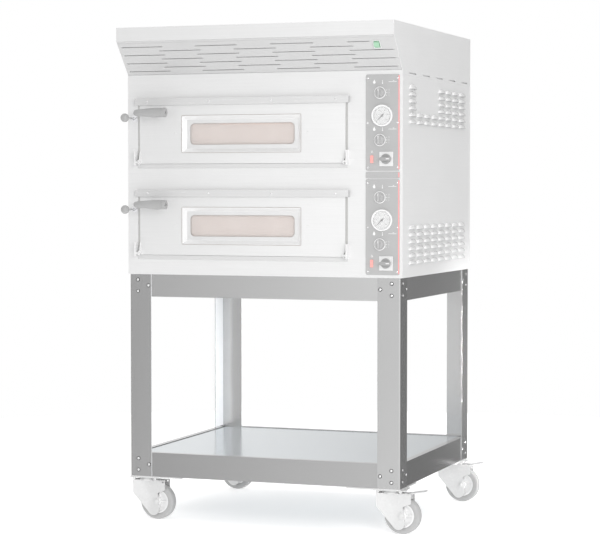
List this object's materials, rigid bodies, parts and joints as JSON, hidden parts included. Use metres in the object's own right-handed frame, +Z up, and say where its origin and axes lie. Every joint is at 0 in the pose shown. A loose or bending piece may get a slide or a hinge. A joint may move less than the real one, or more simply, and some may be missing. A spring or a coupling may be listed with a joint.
{
  "type": "deck pizza oven on a stand",
  "caption": "Stacked electric pizza oven with bottom-hinged glazed doors, side controls and a slotted hood, on an open steel stand with a shelf and swivel castors.",
  "frame": {"origin": "on the floor, under the middle of the oven casing's footprint", "axes": "+X to the right seen from the front, +Y to the back, +Z up"},
  "size_m": [1.073, 0.965, 1.758],
  "materials": {
    "stand_steel": "satin brushed",
    "polished_sheet": "bright annealed",
    "casing_steel": "fine brushed, pale",
    "door_steel": "fine brushed, pale",
    "chamber_steel": "heat tinted",
    "refractory": "matt fired stone",
    "element_alloy": "dark oxide",
    "mineral_wool": "fibrous",
    "door_glass": "clear, slightly warm",
    "grip_plastic": "satin moulded",
    "chrome_rod": "polished",
    "control_fascia": "satin printed fascia",
    "knob_plastic": "satin moulded",
    "gauge_enamel": "gloss enamel",
    "needle_black": "matt",
    "switch_plate": "satin anodised",
    "lamp_red": "translucent moulded",
    "rocker_green": "translucent moulded",
    "galvanised": "galvanised",
    "gland_plastic": "moulded",
    "screw_zinc": "bright zinc",
    "castor_zinc": "bright zinc plated, pale",
    "castor_rubber": "grey non-marking rubber"
  },
  "bodies": {
    "oven": {"back_panel": "casing_steel", "baking_chambers": "chamber_steel", "baking_stones": "refractory", "bottom_rails": "stand_steel", "cable_glands": "gland_plastic", "casing_decks": "casing_steel", "castor_heads": "screw_zinc", "control_panels": "control_fascia", "corner_plates": "stand_steel", "door_lintels": "casing_steel", "fasteners": "screw_zinc", "flue_collar": "galvanised", "front_panel": "casing_steel", "gauge_cases": "gauge_enamel", "heating_elements": "element_alloy", "hinge_brackets": "door_steel", "hood_cheeks": "casing_steel", "hood_grille": "casing_steel", "hood_shell": "casing_steel", "insulation": "mineral_wool", "pilot_lamps": "lamp_red", "shelf": "polished_sheet", "side_panel_left": "casing_steel", "side_panel_right": "casing_steel", "stand_posts": "stand_steel", "switch_plates": "switch_plate", "top_rails": "stand_steel"},
    "castor_front_left": {"castor_fork_front_left": "castor_zinc"},
    "wheel_front_left": {"castor_wheel_front_left": "castor_rubber"},
    "castor_front_right": {"castor_fork_front_right": "castor_zinc"},
    "wheel_front_right": {"castor_wheel_front_right": "castor_rubber"},
    "pedal_front_right": {"brake_pedal_front_right": "castor_zinc"},
    "castor_back_left": {"castor_fork_back_left": "castor_zinc"},
    "wheel_back_left": {"castor_wheel_back_left": "castor_rubber"},
    "castor_back_right": {"castor_fork_back_right": "castor_zinc"},
    "wheel_back_right": {"castor_wheel_back_right": "castor_rubber"},
    "pedal_back_right": {"brake_pedal_back_right": "castor_zinc"},
    "door_upper": {"door_skin_upper": "door_steel", "door_liner_upper": "door_steel", "door_glass_upper": "door_glass", "door_window_frame_upper": "door_steel", "door_handle_stem_upper": "chrome_rod", "door_handle_grip_upper": "grip_plastic"},
    "vent_upper": {"vent_pull_upper": "chrome_rod"},
    "knob_top_upper": {"thermostat_knob_top_upper": "knob_plastic"},
    "knob_bottom_upper": {"thermostat_knob_bottom_upper": "knob_plastic"},
    "mains_switch_upper": {"switch_knob_upper": "knob_plastic"},
    "needle_upper": {"gauge_needle_upper": "needle_black"},
    "door_lower": {"door_skin_lower": "door_steel", "door_liner_lower": "door_steel", "door_glass_lower": "door_glass", "door_window_frame_lower": "door_steel", "door_handle_stem_lower": "chrome_rod", "door_handle_grip_lower": "grip_plastic"},
    "vent_lower": {"vent_pull_lower": "chrome_rod"},
    "knob_top_lower": {"thermostat_knob_top_lower": "knob_plastic"},
    "knob_bottom_lower": {"thermostat_knob_bottom_lower": "knob_plastic"},
    "mains_switch_lower": {"switch_knob_lower": "knob_plastic"},
    "needle_lower": {"gauge_needle_lower": "needle_black"},
    "hood_switch": {"hood_rocker": "rocker_green"}
  },
  "joints": [
    {"name": "swivel_front_left", "type": "hinge", "parent": "oven", "child": "castor_front_left", "pos_m": [-0.45, -0.375, 0.138], "axis": [0, 0, 1], "continuous": true},
    {"name": "roll_front_left", "type": "hinge", "parent": "castor_front_left", "child": "wheel_front_left", "pos_m": [-0.41, -0.375, 0.0625], "axis": [0, 1, 0], "continuous": true},
    {"name": "swivel_front_right", "type": "hinge", "parent": "oven", "child": "castor_front_right", "pos_m": [0.45, -0.375, 0.138], "axis": [0, 0, 1], "continuous": true},
    {"name": "roll_front_right", "type": "hinge", "parent": "castor_front_right", "child": "wheel_front_right", "pos_m": [0.49, -0.375, 0.0625], "axis": [0, 1, 0], "continuous": true},
    {"name": "brake_front_right", "type": "hinge", "parent": "castor_front_right", "child": "pedal_front_right", "pos_m": [0.516, -0.375, 0.132], "axis": [0, 1, 0], "range_deg": [0, 10]},
    {"name": "swivel_back_left", "type": "hinge", "parent": "oven", "child": "castor_back_left", "pos_m": [-0.45, 0.375, 0.138], "axis": [0, 0, 1], "continuous": true},
    {"name": "roll_back_left", "type": "hinge", "parent": "castor_back_left", "child": "wheel_back_left", "pos_m": [-0.41, 0.375, 0.0625], "axis": [0, 1, 0], "continuous": true},
    {"name": "swivel_back_right", "type": "hinge", "parent": "oven", "child": "castor_back_right", "pos_m": [0.45, 0.375, 0.138], "axis": [0, 0, 1], "continuous": true},
    {"name": "roll_back_right", "type": "hinge", "parent": "castor_back_right", "child": "wheel_back_right", "pos_m": [0.49, 0.375, 0.0625], "axis": [0, 1, 0], "continuous": true},
    {"name": "brake_back_right", "type": "hinge", "parent": "castor_back_right", "child": "pedal_back_right", "pos_m": [0.516, 0.375, 0.132], "axis": [0, 1, 0], "range_deg": [0, 10]},
    {"name": "door_upper_hinge", "type": "hinge", "parent": "oven", "child": "door_upper", "pos_m": [-0.0765, -0.44, 1.253], "axis": [1, 0, 0], "range_deg": [0, 90]},
    {"name": "vent_upper_slide", "type": "slide", "parent": "oven", "child": "vent_upper", "axis": [0, -1, 0], "range_m": [-0.05, 0]},
    {"name": "thermostat_top_upper", "type": "hinge", "parent": "oven", "child": "knob_top_upper", "pos_m": [0.422, -0.427, 1.48], "axis": [0, 1, 0], "range_deg": [0, 270]},
    {"name": "thermostat_bottom_upper", "type": "hinge", "parent": "oven", "child": "knob_bottom_upper", "pos_m": [0.422, -0.427, 1.323], "axis": [0, 1, 0], "range_deg": [0, 270]},
    {"name": "mains_switch_upper_turn", "type": "hinge", "parent": "oven", "child": "mains_switch_upper", "pos_m": [0.445, -0.427, 1.26], "axis": [0, 1, 0], "range_deg": [0, 90]},
    {"name": "gauge_upper_turn", "type": "hinge", "parent": "oven", "child": "needle_upper", "pos_m": [0.431, -0.427, 1.404], "axis": [0, 1, 0], "range_deg": [0, 270]},
    {"name": "door_lower_hinge", "type": "hinge", "parent": "oven", "child": "door_lower", "pos_m": [-0.0765, -0.44, 0.937], "axis": [1, 0, 0], "range_deg": [0, 90]},
    {"name": "vent_lower_slide", "type": "slide", "parent": "oven", "child": "vent_lower", "axis": [0, -1, 0], "range_m": [-0.05, 0]},
    {"name": "thermostat_top_lower", "type": "hinge", "parent": "oven", "child": "knob_top_lower", "pos_m": [0.422, -0.427, 1.132], "axis": [0, 1, 0], "range_deg": [0, 270]},
    {"name": "thermostat_bottom_lower", "type": "hinge", "parent": "oven", "child": "knob_bottom_lower", "pos_m": [0.422, -0.427, 0.975], "axis": [0, 1, 0], "range_deg": [0, 270]},
    {"name": "mains_switch_lower_turn", "type": "hinge", "parent": "oven", "child": "mains_switch_lower", "pos_m": [0.445, -0.427, 0.912], "axis": [0, 1, 0], "range_deg": [0, 90]},
    {"name": "gauge_lower_turn", "type": "hinge", "parent": "oven", "child": "needle_lower", "pos_m": [0.431, -0.427, 1.056], "axis": [0, 1, 0], "range_deg": [0, 270]},
    {"name": "hood_switch_rock", "type": "hinge", "parent": "oven", "child": "hood_switch", "pos_m": [0.434, -0.49413, 1.63734], "axis": [1, 0, 0], "range_deg": [0, 8]}
  ]
}
